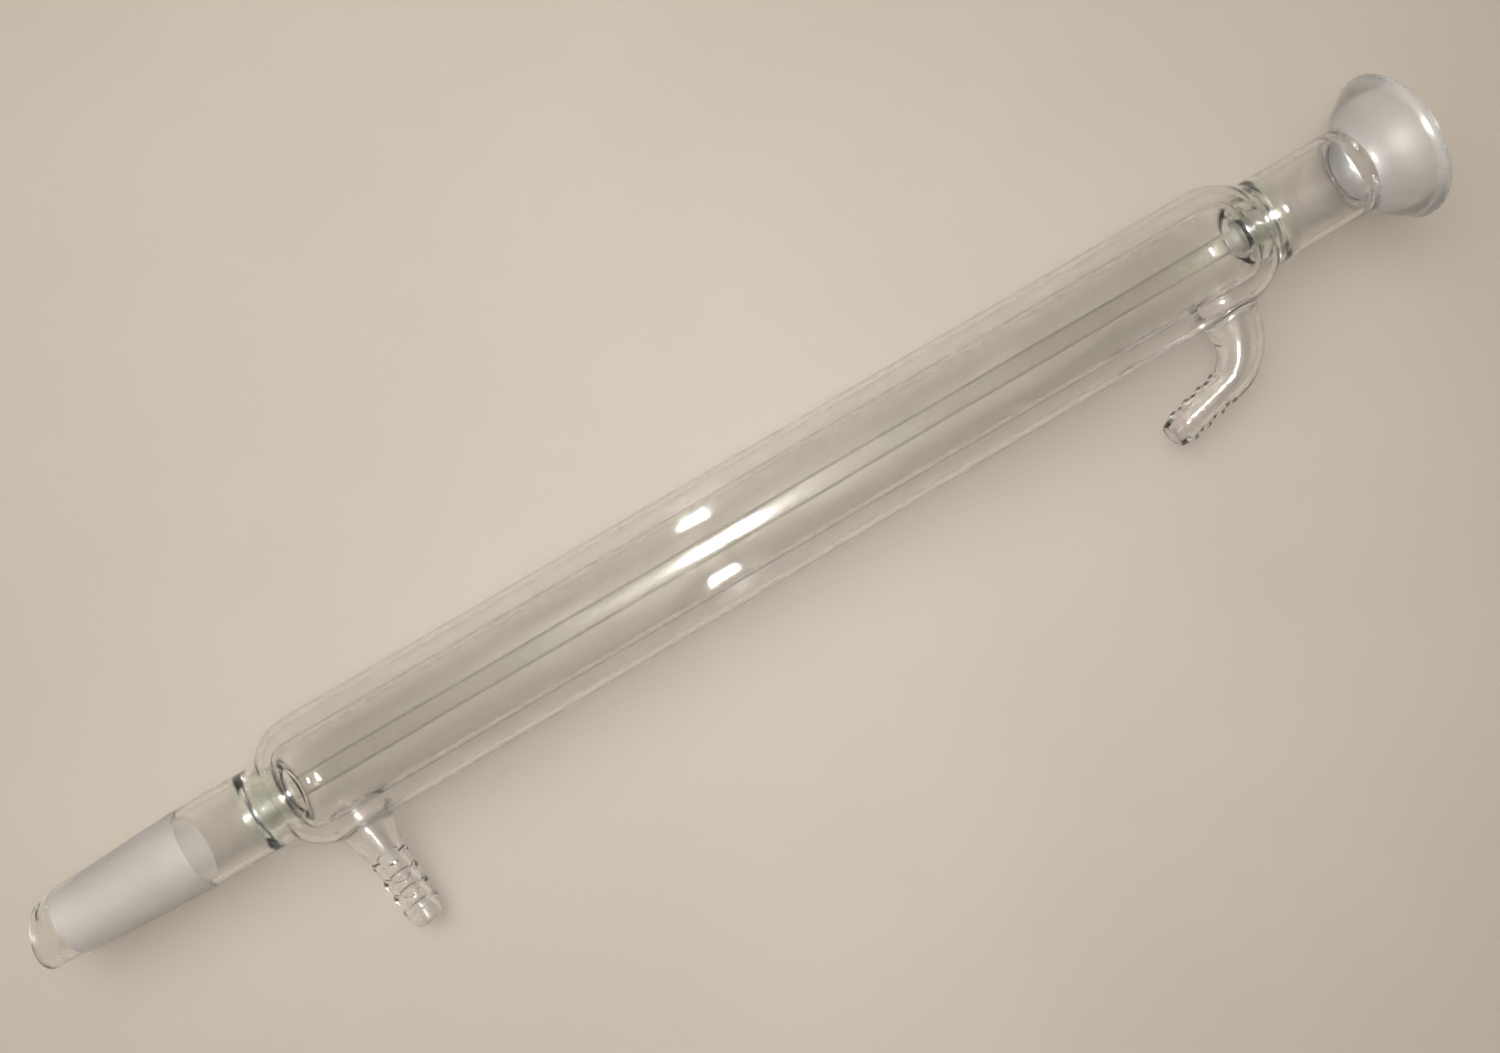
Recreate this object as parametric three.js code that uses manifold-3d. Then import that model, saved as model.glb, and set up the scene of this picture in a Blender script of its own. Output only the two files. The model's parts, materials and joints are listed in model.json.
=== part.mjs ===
// A laboratory water condenser with a straight inner tube, made of fused borosilicate glass tubing.
// It lies on its side: +X runs up the condenser from the drip tip to the ball socket, +Z is up, and the
// two hose arms point to -Y and a little down, so that the lower arm's mouth comes near the bench.
// All sizes are in millimetres. A "height" is a distance along the condenser from the narrow end of the
// ground cone, and a "radius" is a distance from the axis of the piece being described.

import * as THREE from 'three';
import { mergeVertices } from 'three/addons/utils/BufferGeometryUtils.js';
import Module from 'manifold-3d';

const wasm = await Module();
wasm.setup();

// ---- driving sizes ----

const ROUND_SIDES = 40; // sides of every piece turned about the condenser's axis
const SMALL_SIDES = 24; // sides of the hose arms
const ARC_STEPS = 2; // an arc of an outline is cut into twice this many straight runs
const BEND_STEPS = 6; // straight runs along the outlet's bend
const FUSED_LINE = 0.1; // opening left at each fused butt line, so that each piece is its own solid
const CUT_CLEARANCE = 0.3; // opening left where an arm is cut to fit the round jacket
const SAME_POINT = 1e-4; // vertices closer than this are one vertex

// Standard 24/40 male taper: 24 mm at the wide end, 40 mm long, one in ten.
const TAPER_WIDE_RADIUS = 12;
const TAPER_LENGTH = 40;
const TAPER_RATE = 1 / 10; // diameter lost per length
const TAPER_NARROW_RADIUS = TAPER_WIDE_RADIUS - (TAPER_LENGTH * TAPER_RATE) / 2;
const TAPER_EDGE = 1.2; // bevel of the cone's narrow end
const CONE_NARROW_BORE = 7.4;

const TIP_RADIUS = 9.2;
const TIP_WALL = 2;
const TIP_LENGTH = 6.3; // on the axis
const TIP_SLANT = THREE.MathUtils.degToRad(18);
const TIP_LONG_SIDE = THREE.MathUtils.degToRad(-28); // turn of the tip's long side about the axis

const NECK_WALL = 1.8;
const LOWER_NECK_RADIUS = 11.9;
const UPPER_NECK_RADIUS = 13.5;

const JACKET_RADIUS = 19;
const JACKET_WALL = 1.8;
const JACKET_START = 61.5;
const JACKET_LENGTH = 330;
const SHOULDER_LENGTH = 15.5;
const FOOT_SHARE = 0.25; // share of a shoulder that the hollow curve next to the neck takes

const TUBE_RADIUS = 13;
const TUBE_WALL = 1.5;
const TUBE_DOME = 4.5; // length of the rounded corner at each end of the inner tube
const TUBE_CORNER = 3; // the same corner measured across the tube
const TUBE_FOOT = 1.8; // short straight run between the ring seal and the dome

// A ring seal is thick glass that reaches outside the jacket's end and a little way inside it.
const SEAL_OUTSIDE = 5.5;
const SEAL_INSIDE = 5.2;
const SEAL_CORE_RADIUS = 9.6;
const THROAT_RADIUS = 6.4;

// Ball socket for a 40 mm ball.
const BALL_RADIUS = 20;
const BALL_CENTRE = 443;
const SOCKET_START = 420;
const SOCKET_THROAT_RADIUS = 10.8;
const SOCKET_THROAT_LENGTH = 2.4;
const FLARE_ANGLE = THREE.MathUtils.degToRad(34.7);
const RIM_RADIUS = 23.4;
const RIM_ROUND = 2.5; // radius of the rim's rounded outer edge
const RIM_HEIGHT = 442.6;

// Hose arms.
const ARM_INSET = 19; // distance of each arm from its own end of the jacket
const ARM_DROOP = THREE.MathUtils.degToRad(17); // how far the arms point below level
const ARM_RADIUS = 5.4; // where a hose barb starts
const ARM_BORE = 3.2;
const ARM_WALL = 1.6; // wall of the flared roots
const INLET_END = 31; // distance of the flared root's free end from the condenser's axis
const INLET_ROOT_RADIUS = 8.6; // at the jacket's surface
const OUTLET_END = 26;
const OUTLET_ROOT_RADIUS = 9;
const OUTLET_END_RADIUS = 7.8; // where the bend starts, and it narrows to ARM_RADIUS
const FLARE_HOLLOW = 0.6; // how hollow the flare is: 0.5 is straight
const BEND_RADIUS = 13;
const BEND_ANGLE = THREE.MathUtils.degToRad(75.6);

// Hose barb: ridges that slope down towards the mouth.
const BARB_LENGTH = 22.5;
const RIDGE_COUNT = 4;
const RIDGE_PITCH = 5.4;
const FIRST_RIDGE = 0.8;
const RIDGE_RISE = 1; // length of the short steep side of a ridge
const RIDGE_RADIUS = 5.7;
const VALLEY_RADIUS = 4.8;
const MOUTH_RADIUS = 4;

// ---- heights worked out from the driving sizes ----

const JACKET_END = JACKET_START + JACKET_LENGTH;
const MIRROR = JACKET_START + JACKET_END; // a height h at the lower end is MIRROR - h at the upper end
const LOWER_SEAL_START = JACKET_START - SEAL_OUTSIDE;
const INLET_HEIGHT = JACKET_START + ARM_INSET;
const OUTLET_HEIGHT = JACKET_END - ARM_INSET;
const OUTLET_END_BORE = OUTLET_END_RADIUS - ARM_WALL;
const BEND_START = OUTLET_END + FUSED_LINE;
const QUARTER = Math.PI / 2;

// ---- materials ----

const glass = (color, roughness) => new THREE.MeshStandardMaterial({ color, roughness, metalness: 0 });
const CLEAR_GLASS = glass(0xe6e2d8, 0.06);
const SEAL_GLASS = glass(0xc9d2bd, 0.1);
const GROUND_GLASS = glass(0xd6cfc4, 0.75);

// ---- turning and cutting ----

// Starts an outline in (radius, height).
const from = (radius, height) => new THREE.Path().moveTo(radius, height);

const pointsOf = (outline) => outline.getPoints(ARC_STEPS);

const flipped = (points) => points.map((point) => new THREE.Vector2(point.x, MIRROR - point.y));

// Turns a closed outline about the +Y axis. The faces point outwards when the outline runs
// anticlockwise, as seen with the radius to the right and the height up.
function turned(points, sides = ROUND_SIDES) {
  const ring = THREE.ShapeUtils.area(points) < 0 ? [...points].reverse() : [...points];
  if (ring[0].distanceTo(ring.at(-1)) > SAME_POINT) {
    ring.push(ring[0].clone());
  }
  return new THREE.LatheGeometry(ring, sides);
}

function sleeve(outerRadius, wall, start, end) {
  const bore = outerRadius - wall;
  const outline = from(bore, start).lineTo(outerRadius, start).lineTo(outerRadius, end).lineTo(bore, end);
  return turned(pointsOf(outline));
}

function toSolid(geometry) {
  const bare = geometry.clone();
  bare.deleteAttribute('normal');
  bare.deleteAttribute('uv');
  const merged = mergeVertices(bare, SAME_POINT);
  return new wasm.Manifold(new wasm.Mesh({
    numProp: 3,
    vertProperties: new Float32Array(merged.attributes.position.array),
    triVerts: new Uint32Array(merged.index.array),
  }));
}

function toGeometry(solid) {
  const mesh = solid.getMesh();
  const geometry = new THREE.BufferGeometry();
  geometry.setAttribute('position', new THREE.BufferAttribute(mesh.vertProperties, 3));
  geometry.setIndex(new THREE.BufferAttribute(mesh.triVerts, 1));
  geometry.computeVertexNormals();
  return geometry;
}

function cut(geometry, ...cutters) {
  const left = cutters.reduce((solid, cutter) => solid.subtract(toSolid(cutter)), toSolid(geometry));
  return toGeometry(left);
}

function piece(name, geometry, material = CLEAR_GLASS) {
  const mesh = new THREE.Mesh(geometry, material);
  mesh.name = name;
  return mesh;
}

// ---- lower end: tip, cone and neck ----

function dripTip() {
  const blank = sleeve(TIP_RADIUS, TIP_WALL, -2 * TIP_LENGTH, -FUSED_LINE);
  const side = 6 * TIP_RADIUS;
  const knife = new THREE.BoxGeometry(side, side, side).translate(0, -side / 2, 0);
  knife.rotateZ(-TIP_SLANT).rotateY(TIP_LONG_SIDE).translate(0, -TIP_LENGTH, 0);
  return cut(blank, knife);
}

function groundCone() {
  const outline = from(CONE_NARROW_BORE, 0)
    .lineTo(TAPER_NARROW_RADIUS - TAPER_EDGE, 0)
    .lineTo(TAPER_NARROW_RADIUS, TAPER_EDGE)
    .lineTo(TAPER_WIDE_RADIUS, TAPER_LENGTH)
    .lineTo(LOWER_NECK_RADIUS - NECK_WALL, TAPER_LENGTH);
  return turned(pointsOf(outline));
}

function lowerNeck() {
  return sleeve(LOWER_NECK_RADIUS, NECK_WALL, TAPER_LENGTH + FUSED_LINE, LOWER_SEAL_START - FUSED_LINE);
}

function upperNeck() {
  const start = MIRROR - LOWER_SEAL_START;
  return sleeve(UPPER_NECK_RADIUS, NECK_WALL, start + FUSED_LINE, SOCKET_START - FUSED_LINE);
}

// ---- ring seals ----

// Drawn for the lower end: the neck's bore closes to the throat in a round dome, and a narrower core
// reaches into the jacket to carry the inner tube.
function ringSealPoints(neckRadius) {
  const bore = neckRadius - NECK_WALL;
  const jacketFace = JACKET_START - FUSED_LINE;
  const coreEnd = JACKET_START + SEAL_INSIDE - FUSED_LINE;
  const domeRadius = bore - THROAT_RADIUS;
  const outline = from(bore, LOWER_SEAL_START)
    .lineTo(neckRadius, LOWER_SEAL_START)
    .lineTo(neckRadius, jacketFace)
    .lineTo(SEAL_CORE_RADIUS, jacketFace)
    .lineTo(SEAL_CORE_RADIUS, coreEnd)
    .lineTo(THROAT_RADIUS, coreEnd)
    .lineTo(THROAT_RADIUS, LOWER_SEAL_START + domeRadius)
    .absarc(THROAT_RADIUS, LOWER_SEAL_START, domeRadius, QUARTER, 0, true);
  return pointsOf(outline);
}

// ---- water jacket ----

// One end of the jacket's surface, from the ring seal up to the straight tube: a hollow arc and a round
// one that meet at a common slope. depth is how far the surface lies under the outer one.
function shoulderPoints(neckRadius, depth) {
  const slope = 2 * Math.atan((JACKET_RADIUS - neckRadius) / SHOULDER_LENGTH);
  const bothRadii = SHOULDER_LENGTH / Math.sin(slope);
  const footRadius = FOOT_SHARE * bothRadii;
  const domeRadius = bothRadii - footRadius;
  const domeEnd = JACKET_START + SHOULDER_LENGTH;
  const outline = from(neckRadius - depth, JACKET_START)
    .absarc(neckRadius + footRadius, JACKET_START, footRadius + depth, Math.PI, Math.PI - slope, true)
    .absarc(JACKET_RADIUS - domeRadius, domeEnd, domeRadius - depth, -slope, 0, false);
  return pointsOf(outline);
}

function jacketSurface(depth) {
  const lower = shoulderPoints(LOWER_NECK_RADIUS, depth);
  const upper = flipped(shoulderPoints(UPPER_NECK_RADIUS, depth));
  return [...lower, ...upper.reverse()];
}

// The cutter for the opening in the jacket's side under an arm.
function sideOpening(height, rootRadius) {
  const openingRadius = rootRadius - ARM_WALL;
  const cutter = new THREE.CylinderGeometry(openingRadius, openingRadius, JACKET_RADIUS, SMALL_SIDES);
  return cutter.translate(0, JACKET_RADIUS, 0).rotateZ(-QUARTER).rotateY(ARM_DROOP).translate(0, height, 0);
}

function waterJacket() {
  return cut(
    turned([...jacketSurface(0), ...jacketSurface(JACKET_WALL).reverse()]),
    sideOpening(INLET_HEIGHT, INLET_ROOT_RADIUS),
    sideOpening(OUTLET_HEIGHT, OUTLET_ROOT_RADIUS),
  );
}

// ---- inner tube ----

function tubeEndPoints(footRadius, depth) {
  const start = JACKET_START + SEAL_INSIDE;
  const face = start + TUBE_FOOT + depth;
  const cornerRadius = TUBE_RADIUS - TUBE_CORNER;
  const domeLength = TUBE_DOME - depth;
  const outline = from(footRadius, start)
    .lineTo(footRadius, face)
    .lineTo(cornerRadius, face)
    .absellipse(cornerRadius, face + domeLength, TUBE_CORNER - depth, domeLength, -QUARTER, 0, false);
  return pointsOf(outline);
}

function innerTube() {
  const outerEnd = tubeEndPoints(SEAL_CORE_RADIUS, 0);
  const innerEnd = tubeEndPoints(THROAT_RADIUS, TUBE_WALL);
  const outer = [...outerEnd, ...flipped(outerEnd).reverse()];
  const inner = [...innerEnd, ...flipped(innerEnd).reverse()];
  return turned([...outer, ...inner.reverse()]);
}

// ---- ball socket ----

function ballSocket() {
  const bore = UPPER_NECK_RADIUS - NECK_WALL;
  const rimMiddle = RIM_HEIGHT - RIM_ROUND;
  const rimInset = RIM_RADIUS - RIM_ROUND;
  const tangentRadius = rimInset + RIM_ROUND * Math.cos(FLARE_ANGLE);
  const tangentHeight = rimMiddle - RIM_ROUND * Math.sin(FLARE_ANGLE);
  const flareStart = tangentHeight - (tangentRadius - UPPER_NECK_RADIUS) / Math.tan(FLARE_ANGLE);
  const seatTop = -Math.asin((BALL_CENTRE - RIM_HEIGHT) / BALL_RADIUS);
  const seatFoot = -Math.acos(SOCKET_THROAT_RADIUS / BALL_RADIUS);
  const throatTop = BALL_CENTRE + BALL_RADIUS * Math.sin(seatFoot);
  const outline = from(bore, SOCKET_START)
    .lineTo(UPPER_NECK_RADIUS, SOCKET_START)
    .lineTo(UPPER_NECK_RADIUS, flareStart)
    .absarc(rimInset, rimMiddle, RIM_ROUND, -FLARE_ANGLE, QUARTER, false)
    .absarc(0, BALL_CENTRE, BALL_RADIUS, seatTop, seatFoot, true)
    .lineTo(SOCKET_THROAT_RADIUS, throatTop - SOCKET_THROAT_LENGTH);
  return turned(pointsOf(outline));
}

// ---- hose arms, each drawn along +Y with the condenser's axis along X through the origin ----

// What an arm at this height must leave free: the jacket and a little room round it.
function jacketSpace(height) {
  const core = 1; // any radius well inside the arm's root
  const outline = [
    new THREE.Vector2(core, JACKET_START),
    ...jacketSurface(-CUT_CLEARANCE),
    new THREE.Vector2(core, JACKET_END),
  ];
  return turned(outline).translate(0, -height, 0).rotateZ(QUARTER);
}

// A hollow flare that narrows from its root at the jacket to its free end.
function armStub(height, rootRadius, end, endRadius, endBore) {
  const root = JACKET_RADIUS / 2;
  const waistRadius = THREE.MathUtils.lerp(rootRadius, endRadius, FLARE_HOLLOW);
  const waist = THREE.MathUtils.lerp(end, JACKET_RADIUS, FLARE_HOLLOW);
  const outline = from(rootRadius - ARM_WALL, root)
    .lineTo(rootRadius, root)
    .lineTo(rootRadius, JACKET_RADIUS)
    .quadraticCurveTo(waistRadius, waist, endRadius, end)
    .lineTo(endBore, end)
    .lineTo(rootRadius - ARM_WALL, JACKET_RADIUS);
  return cut(turned(pointsOf(outline), SMALL_SIDES), jacketSpace(height));
}

// Bends a straight piece, drawn from y = 0, round the outlet's curve. The curve starts straight out from
// the flared root and turns towards the lower end.
function bent(geometry) {
  const spots = geometry.attributes.position;
  for (let i = 0; i < spots.count; i += 1) {
    const angle = spots.getY(i) / BEND_RADIUS;
    const reach = BEND_RADIUS - spots.getX(i); // distance from the centre of the curve
    spots.setXY(i, BEND_RADIUS - reach * Math.cos(angle), BEND_START + reach * Math.sin(angle));
  }
  geometry.computeVertexNormals();
  return geometry;
}

function outletBend() {
  const outer = [];
  const bore = [];
  for (let step = 0; step <= BEND_STEPS; step += 1) {
    const share = step / BEND_STEPS;
    const distance = share * BEND_RADIUS * BEND_ANGLE;
    outer.push(new THREE.Vector2(THREE.MathUtils.lerp(OUTLET_END_RADIUS, ARM_RADIUS, share), distance));
    bore.push(new THREE.Vector2(THREE.MathUtils.lerp(OUTLET_END_BORE, ARM_BORE, share), distance));
  }
  return bent(turned([...outer, ...bore.reverse()], SMALL_SIDES));
}

function hoseBarb() {
  const outline = from(ARM_BORE, FUSED_LINE).lineTo(ARM_RADIUS, FUSED_LINE);
  for (let ridge = 0; ridge < RIDGE_COUNT; ridge += 1) {
    const top = FIRST_RIDGE + ridge * RIDGE_PITCH;
    const isLast = ridge === RIDGE_COUNT - 1;
    outline.lineTo(RIDGE_RADIUS, top);
    if (!isLast) {
      outline.lineTo(VALLEY_RADIUS, top + RIDGE_PITCH - RIDGE_RISE);
    }
  }
  outline.lineTo(MOUTH_RADIUS, BARB_LENGTH).lineTo(ARM_BORE, BARB_LENGTH);
  return turned(pointsOf(outline), SMALL_SIDES);
}

// ---- assembly ----

function armGroup(height, ...meshes) {
  const arm = new THREE.Group().add(...meshes);
  arm.position.y = height;
  arm.rotation.set(0, ARM_DROOP, -QUARTER, 'YXZ');
  return arm;
}

function inletArm() {
  const flare = armStub(INLET_HEIGHT, INLET_ROOT_RADIUS, INLET_END, ARM_RADIUS, ARM_BORE);
  const barb = piece('inlet_hose_barb', hoseBarb());
  barb.position.y = INLET_END;
  return armGroup(INLET_HEIGHT, piece('inlet_stub', flare), barb);
}

function outletArm() {
  const flare = armStub(OUTLET_HEIGHT, OUTLET_ROOT_RADIUS, OUTLET_END, OUTLET_END_RADIUS, OUTLET_END_BORE);
  const barb = piece('outlet_hose_barb', hoseBarb());
  barb.position.x = BEND_RADIUS * (1 - Math.cos(BEND_ANGLE));
  barb.position.y = BEND_START + BEND_RADIUS * Math.sin(BEND_ANGLE);
  barb.rotation.z = -BEND_ANGLE;
  const bend = piece('outlet_bend', outletBend());
  return armGroup(OUTLET_HEIGHT, piece('outlet_stub', flare), bend, barb);
}

const glassware = new THREE.Group().add(
  piece('drip_tip', dripTip()),
  piece('ground_cone', groundCone(), GROUND_GLASS),
  piece('lower_neck', lowerNeck()),
  piece('lower_ring_seal', turned(ringSealPoints(LOWER_NECK_RADIUS)), SEAL_GLASS),
  piece('water_jacket', waterJacket()),
  piece('inner_tube', innerTube()),
  piece('upper_ring_seal', turned(flipped(ringSealPoints(UPPER_NECK_RADIUS))), SEAL_GLASS),
  piece('upper_neck', upperNeck()),
  piece('ball_socket', ballSocket(), GROUND_GLASS),
  inletArm(),
  outletArm(),
);
glassware.rotation.z = -QUARTER; // the turning axis becomes +X

// The origin is on the bench, under the middle of the whole condenser.
const condenser = new THREE.Group().add(glassware);
condenser.updateMatrixWorld(true);
const extent = new THREE.Box3().setFromObject(condenser, true);
const middle = extent.getCenter(new THREE.Vector3());
condenser.position.set(-middle.x, -middle.y, -extent.min.z);

export default condenser;
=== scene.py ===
"""Looks of a laboratory water condenser: fused glass tubing lying on a pale bench.

Each piece is a closed solid turned from an outline. An outline is a loop of corners (x, radius) in
millimetres, with x along the piece's own centre line. A placing function then puts every point of the
turned outline into the frame, so straight tubes, saddle-shaped arm roots and bends share one builder.
Where two pieces are fused, both end in the same face with a fully clear material, so light crosses the
line unbent, as it does in one body of glass.
"""

import json
import math
from collections import namedtuple

import bpy
from mathutils import Matrix, Vector, noise

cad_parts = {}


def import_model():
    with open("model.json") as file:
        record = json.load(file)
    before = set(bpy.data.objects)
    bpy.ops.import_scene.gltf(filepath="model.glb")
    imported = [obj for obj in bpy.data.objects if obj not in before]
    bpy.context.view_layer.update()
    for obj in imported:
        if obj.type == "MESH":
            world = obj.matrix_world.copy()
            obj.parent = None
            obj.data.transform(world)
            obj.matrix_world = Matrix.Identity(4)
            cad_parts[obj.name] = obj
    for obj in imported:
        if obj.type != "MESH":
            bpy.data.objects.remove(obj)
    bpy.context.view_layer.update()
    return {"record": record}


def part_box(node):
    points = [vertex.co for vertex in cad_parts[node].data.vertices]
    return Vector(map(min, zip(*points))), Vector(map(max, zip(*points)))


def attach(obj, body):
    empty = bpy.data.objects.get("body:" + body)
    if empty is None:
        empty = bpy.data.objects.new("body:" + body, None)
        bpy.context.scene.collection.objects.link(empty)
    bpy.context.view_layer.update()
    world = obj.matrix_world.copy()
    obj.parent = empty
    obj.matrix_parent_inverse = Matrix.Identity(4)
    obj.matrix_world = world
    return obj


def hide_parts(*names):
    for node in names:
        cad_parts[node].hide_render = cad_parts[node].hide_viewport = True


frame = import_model()

MM = 0.001

# ---- fineness of the meshes ----

ROUND_SIDES = 192  # sides of the pieces turned about the condenser's axis
SMALL_SIDES = 96  # sides of the hose arms
ROUND_RUN = 2.5  # longest straight run of an outline, in mm
SMALL_RUN = 1.2  # the same on the hose arms, the ring seals and the tip
ARC_STEP = math.radians(9)  # largest turn between two runs of an arc
ARC_RUN = 0.8  # longest straight run of an arc, in mm
SHARP_ANGLE = math.radians(40)  # a turn sharper than this keeps its edge

# ---- sizes that the frame's boxes don't give, in mm ----

TAPER_RATE = 1 / 10  # diameter lost per length of the ground cone
CONE_EDGE = 1.2  # length of the bevel at each end of the cone
CONE_BORE_STEP = 0.2  # how much wider than the tip's bore the cone's bore starts, on the radius
TIP_WALL = 2.0
TIP_BEAD = 1.0  # how far the fire-polished mouth has thickened inwards
TIP_LIP_SHARE = 0.48  # rounding of the mouth's two edges, as a share of its thickness
NECK_WALL = 1.8
JACKET_WALL = 1.8
SHOULDER_LENGTH = 15.5
FOOT_SHARE = 0.25  # share of a shoulder that the hollow curve next to the neck takes
TUBE_WALL = 1.5
TUBE_DOME = 4.5  # length of the round corner at each end of the inner tube
TUBE_CORNER = 3.0  # height of that corner
TUBE_FOOT = 1.8  # length of the foot that meets the ring seal
SEAL_CORE_RADIUS = 9.6  # of the foot, where the ring seal meets it
THROAT_RADIUS = 6.4
BALL_RADIUS = 20.0
BALL_CENTRE_OUT = 0.4  # how far the ball's centre lies outside the rim
SOCKET_THROAT_RADIUS = 10.8
SOCKET_THROAT_LENGTH = 2.4
FLARE_ANGLE = math.radians(34.7)
RIM_ROUND = 2.5  # radius of the rim's round edge
CLEAR_RIM = 3.6  # length of the fire-polished rim outside the ground seat

ARM_RADIUS = 5.4  # where a hose barb starts
ARM_BORE = 3.2  # radius of the passage through a barb
ARM_WALL = 1.6
INLET_END = 31.0  # where the inlet's root ends, from the condenser's axis
INLET_ROOT_RADIUS = 8.6
OUTLET_END = 26.0
OUTLET_ROOT_RADIUS = 9.0
OUTLET_END_RADIUS = 7.8
FLARE_HOLLOW = 0.6  # at the waist of an arm's root: share of its narrowing done, and of its length left
FLARE_ROUND = 30.0  # radius of the flare's hollow curve
ROOT_FILLET = 2.2
ROOT_MARGIN = 0.4  # jacket wall beyond the fillet that belongs to an arm's root
SADDLE_SHARE = 0.6  # share of an arm's root over which it turns from saddle-shaped to plain round
BEND_RADIUS = 13.0
BEND_ANGLE = math.radians(75.6)
BARB_LENGTH = 22.5
RIDGE_COUNT = 4
RIDGE_PITCH = 5.4
FIRST_RIDGE = 0.8
RIDGE_RISE = 1.0  # length over which a valley climbs to the next ridge
RIDGE_RADIUS = 5.7
VALLEY_RADIUS = 4.8
MOUTH_RADIUS = 4.0
RIDGE_SOFTNESS = 1.2  # rounding left by the flame on the ridges and in the valleys
MOUTH_SOFTNESS = 0.38  # rounding of a hose barb's two end edges

# ---- roundings of single corners, in mm ----

TIP_BORE_ROUND = 2.0
CONE_STEP_ROUND, CONE_FRONT_ROUND, CONE_BACK_ROUND, CONE_BORE_ROUND = 0.3, 0.8, 3.0, 1.0
TUBE_FOOT_ROUND = 0.8
FLARE_START_ROUND = 3.0
THROAT_ROUND, THROAT_FOOT_ROUND = 0.6, 1.0
ROOT_BORE_ROUND = 1.2

# ---- places read from the frame, in mm ----


def span(node):
    """Lowest and highest corner of a CAD node."""
    low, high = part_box(node)
    return low / MM, high / MM


def half_height(node):
    low, high = span(node)
    return (high.z - low.z) / 2


def mount(name):
    """The place and direction of one of the part's interfaces."""
    found = next(m for m in frame["record"]["mounts"] if m["name"] == name)
    return Vector(found["pos_m"]) / MM, Vector(found["axis"]).normalized()


jacket_low, jacket_high = span("water_jacket")
AXIS = Vector((0, jacket_low.y + jacket_high.y, jacket_low.z + jacket_high.z)) / 2
CONE_START, CONE_END = span("ground_cone")[0].x, span("ground_cone")[1].x
LOWER_SEAL_START = span("lower_ring_seal")[0].x
JACKET_START, JACKET_END = jacket_low.x, jacket_high.x
TUBE_START, TUBE_END = span("inner_tube")[0].x, span("inner_tube")[1].x
UPPER_SEAL_END = span("upper_ring_seal")[1].x
SOCKET_START, RIM_END = span("ball_socket")[0].x, span("ball_socket")[1].x

JACKET_RADIUS = half_height("water_jacket")
TUBE_RADIUS = half_height("inner_tube")
LOWER_NECK_RADIUS = half_height("lower_neck")
UPPER_NECK_RADIUS = half_height("upper_neck")
CONE_WIDE_RADIUS = half_height("ground_cone")
TIP_RADIUS = half_height("drip_tip")
RIM_RADIUS = half_height("ball_socket")

# The drip tip's mouth is a slanted plane.
tip_place, TIP_FACING = mount("drip_tip_mouth")
TIP_MOUTH = TIP_FACING.dot(tip_place - AXIS) / TIP_FACING.x
ARM_OUT = mount("water_inlet_mouth")[1]

# ---- outlines ----

GLASS, GROUND, FUSED = "glass", "ground", "fused"  # what covers the run that starts at a corner
Corner = namedtuple("Corner", "x radius rounding skin", defaults=(0.0, GLASS))


def arc_steps(turn, radius):
    """How many straight runs an arc is cut into: more where it turns far or is large."""
    return max(2, math.ceil(abs(turn) / ARC_STEP), math.ceil(abs(turn) * radius / ARC_RUN))


def arc(x, radius, size_x, size_radius, start, end, skin=GLASS):
    """Corners along part of an ellipse about (x, radius). An angle of 0 points along x, 90 outwards."""
    steps = arc_steps(math.radians(end - start), max(abs(size_x), abs(size_radius)))
    angles = [math.radians(start + (end - start) * i / steps) for i in range(steps + 1)]
    return [
        Corner(x + size_x * math.cos(a), radius + size_radius * math.sin(a), 0.0, skin) for a in angles
    ]


def fillet(before, corner, after):
    """The corner replaced by a round of its own rounding radius, as (x, radius) vectors."""
    here = Vector((corner.x, corner.radius))
    back = (Vector((before.x, before.radius)) - here).normalized()
    on = (Vector((after.x, after.radius)) - here).normalized()
    half = back.angle(on) / 2
    reach = corner.rounding / math.tan(half)
    centre = here + (back + on).normalized() * (corner.rounding / math.sin(half))
    first = here + back * reach - centre
    turn = first.angle_signed(here + on * reach - centre)
    steps = arc_steps(turn, corner.rounding)
    return [centre + Matrix.Rotation(-turn * i / steps, 2) @ first for i in range(steps + 1)]


def points_of(corners, longest_run):
    """The outline as (x, radius, skin) points, with its roundings made and its long runs divided."""
    points = []
    for i, corner in enumerate(corners):
        if corner.rounding > 0:
            rounds = fillet(corners[i - 1], corner, corners[(i + 1) % len(corners)])
            skin_before = corners[i - 1].skin
            points += [(p.x, p.y, skin_before if p is not rounds[-1] else corner.skin) for p in rounds]
        else:
            points.append((corner.x, corner.radius, corner.skin))
    divided = []
    for (x, radius, skin), (next_x, next_radius, _) in zip(points, points[1:] + points[:1]):
        parts = max(1, math.ceil(math.hypot(next_x - x, next_radius - radius) / longest_run))
        for i in range(parts):
            share = i / parts
            divided.append((x + (next_x - x) * share, radius + (next_radius - radius) * share, skin))
    return divided


# ---- placing functions: (distance along the centre line, radius, turn) to a point in the frame ----


def on_axis(x, radius, turn):
    return AXIS + Vector((x, -radius * math.sin(turn), radius * math.cos(turn)))


def on_slanted_tip(x, radius, turn):
    """The tip's tube, sheared so that its free end is cut at a slant."""
    point = on_axis(x, radius, turn)
    share = (CONE_START - x) / (CONE_START - TIP_MOUTH)
    slant = (TIP_FACING.y * (point.y - AXIS.y) + TIP_FACING.z * (point.z - AXIS.z)) / TIP_FACING.x
    point.x -= share * slant
    return point


# foot is on the condenser's axis, out points away from it and along towards the lower end.
# end, root_radius, end_radius and end_bore are the sizes of the arm's root.
Arm = namedtuple("Arm", "foot out along side end root_radius end_radius end_bore")


def arm_at(node, end, root_radius, end_radius, end_bore):
    low, high = span(node)
    foot = AXIS + Vector(((low.x + high.x) / 2, 0, 0))
    along = Vector((-1, 0, 0))
    return Arm(foot, ARM_OUT, along, ARM_OUT.cross(along), end, root_radius, end_radius, end_bore)


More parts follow.
